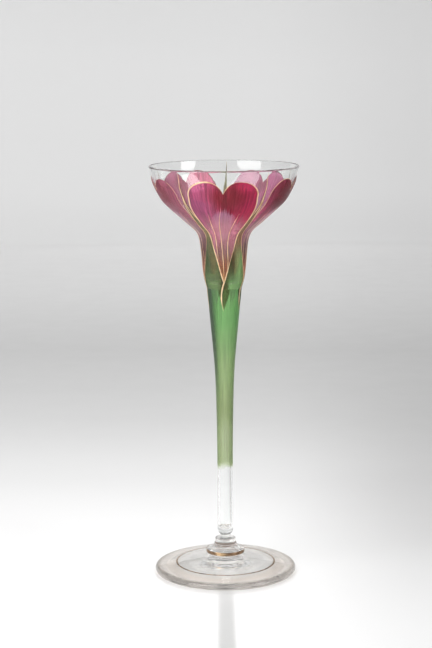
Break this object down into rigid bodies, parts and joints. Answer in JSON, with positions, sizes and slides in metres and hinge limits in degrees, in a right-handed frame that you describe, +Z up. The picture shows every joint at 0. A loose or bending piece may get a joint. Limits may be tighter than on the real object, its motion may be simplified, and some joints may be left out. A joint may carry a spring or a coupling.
{
  "type": "liqueur glass",
  "caption": "Tall liqueur glass shaped as a flower: wide cup with enamelled petals and sepals, long tapering stem, knop, collar and disc foot.",
  "frame": {"origin": "middle of the surface that the foot stands on, on the glass's axis", "axes": "+Z up along the axis of the glass; -Y towards the middle of petal 1, which faces the viewer"},
  "size_m": [0.0724, 0.0723, 0.2003],
  "materials": {
    "clear_glass": "clear colourless blown glass, fire polished",
    "petal_enamel": "translucent rose to crimson fired enamel, hand painted",
    "sepal_enamel": "dark to leaf green fired enamel with brown shading",
    "green_enamel": "translucent mid green fired enamel, paler towards its lower end",
    "gilding": "fired warm gold lines, slightly rubbed"
  },
  "bodies": {
    "root": {"foot": "clear_glass", "collar": "clear_glass", "knop": "clear_glass", "stem": "clear_glass", "bowl": "clear_glass", "foot_gilt_ring": "gilding", "collar_gilt_band": "gilding", "stem_enamel": "green_enamel", "petal_1": "petal_enamel", "petal_gilding_1": "gilding", "sepal_1": "sepal_enamel", "sepal_gilding_1": "gilding", "petal_2": "petal_enamel", "petal_gilding_2": "gilding", "sepal_2": "sepal_enamel", "sepal_gilding_2": "gilding", "petal_3": "petal_enamel", "petal_gilding_3": "gilding", "sepal_3": "sepal_enamel", "sepal_gilding_3": "gilding", "petal_4": "petal_enamel", "petal_gilding_4": "gilding", "sepal_4": "sepal_enamel", "sepal_gilding_4": "gilding", "petal_5": "petal_enamel", "petal_gilding_5": "gilding", "sepal_5": "sepal_enamel", "sepal_gilding_5": "gilding"}
  },
  "joints": []
}
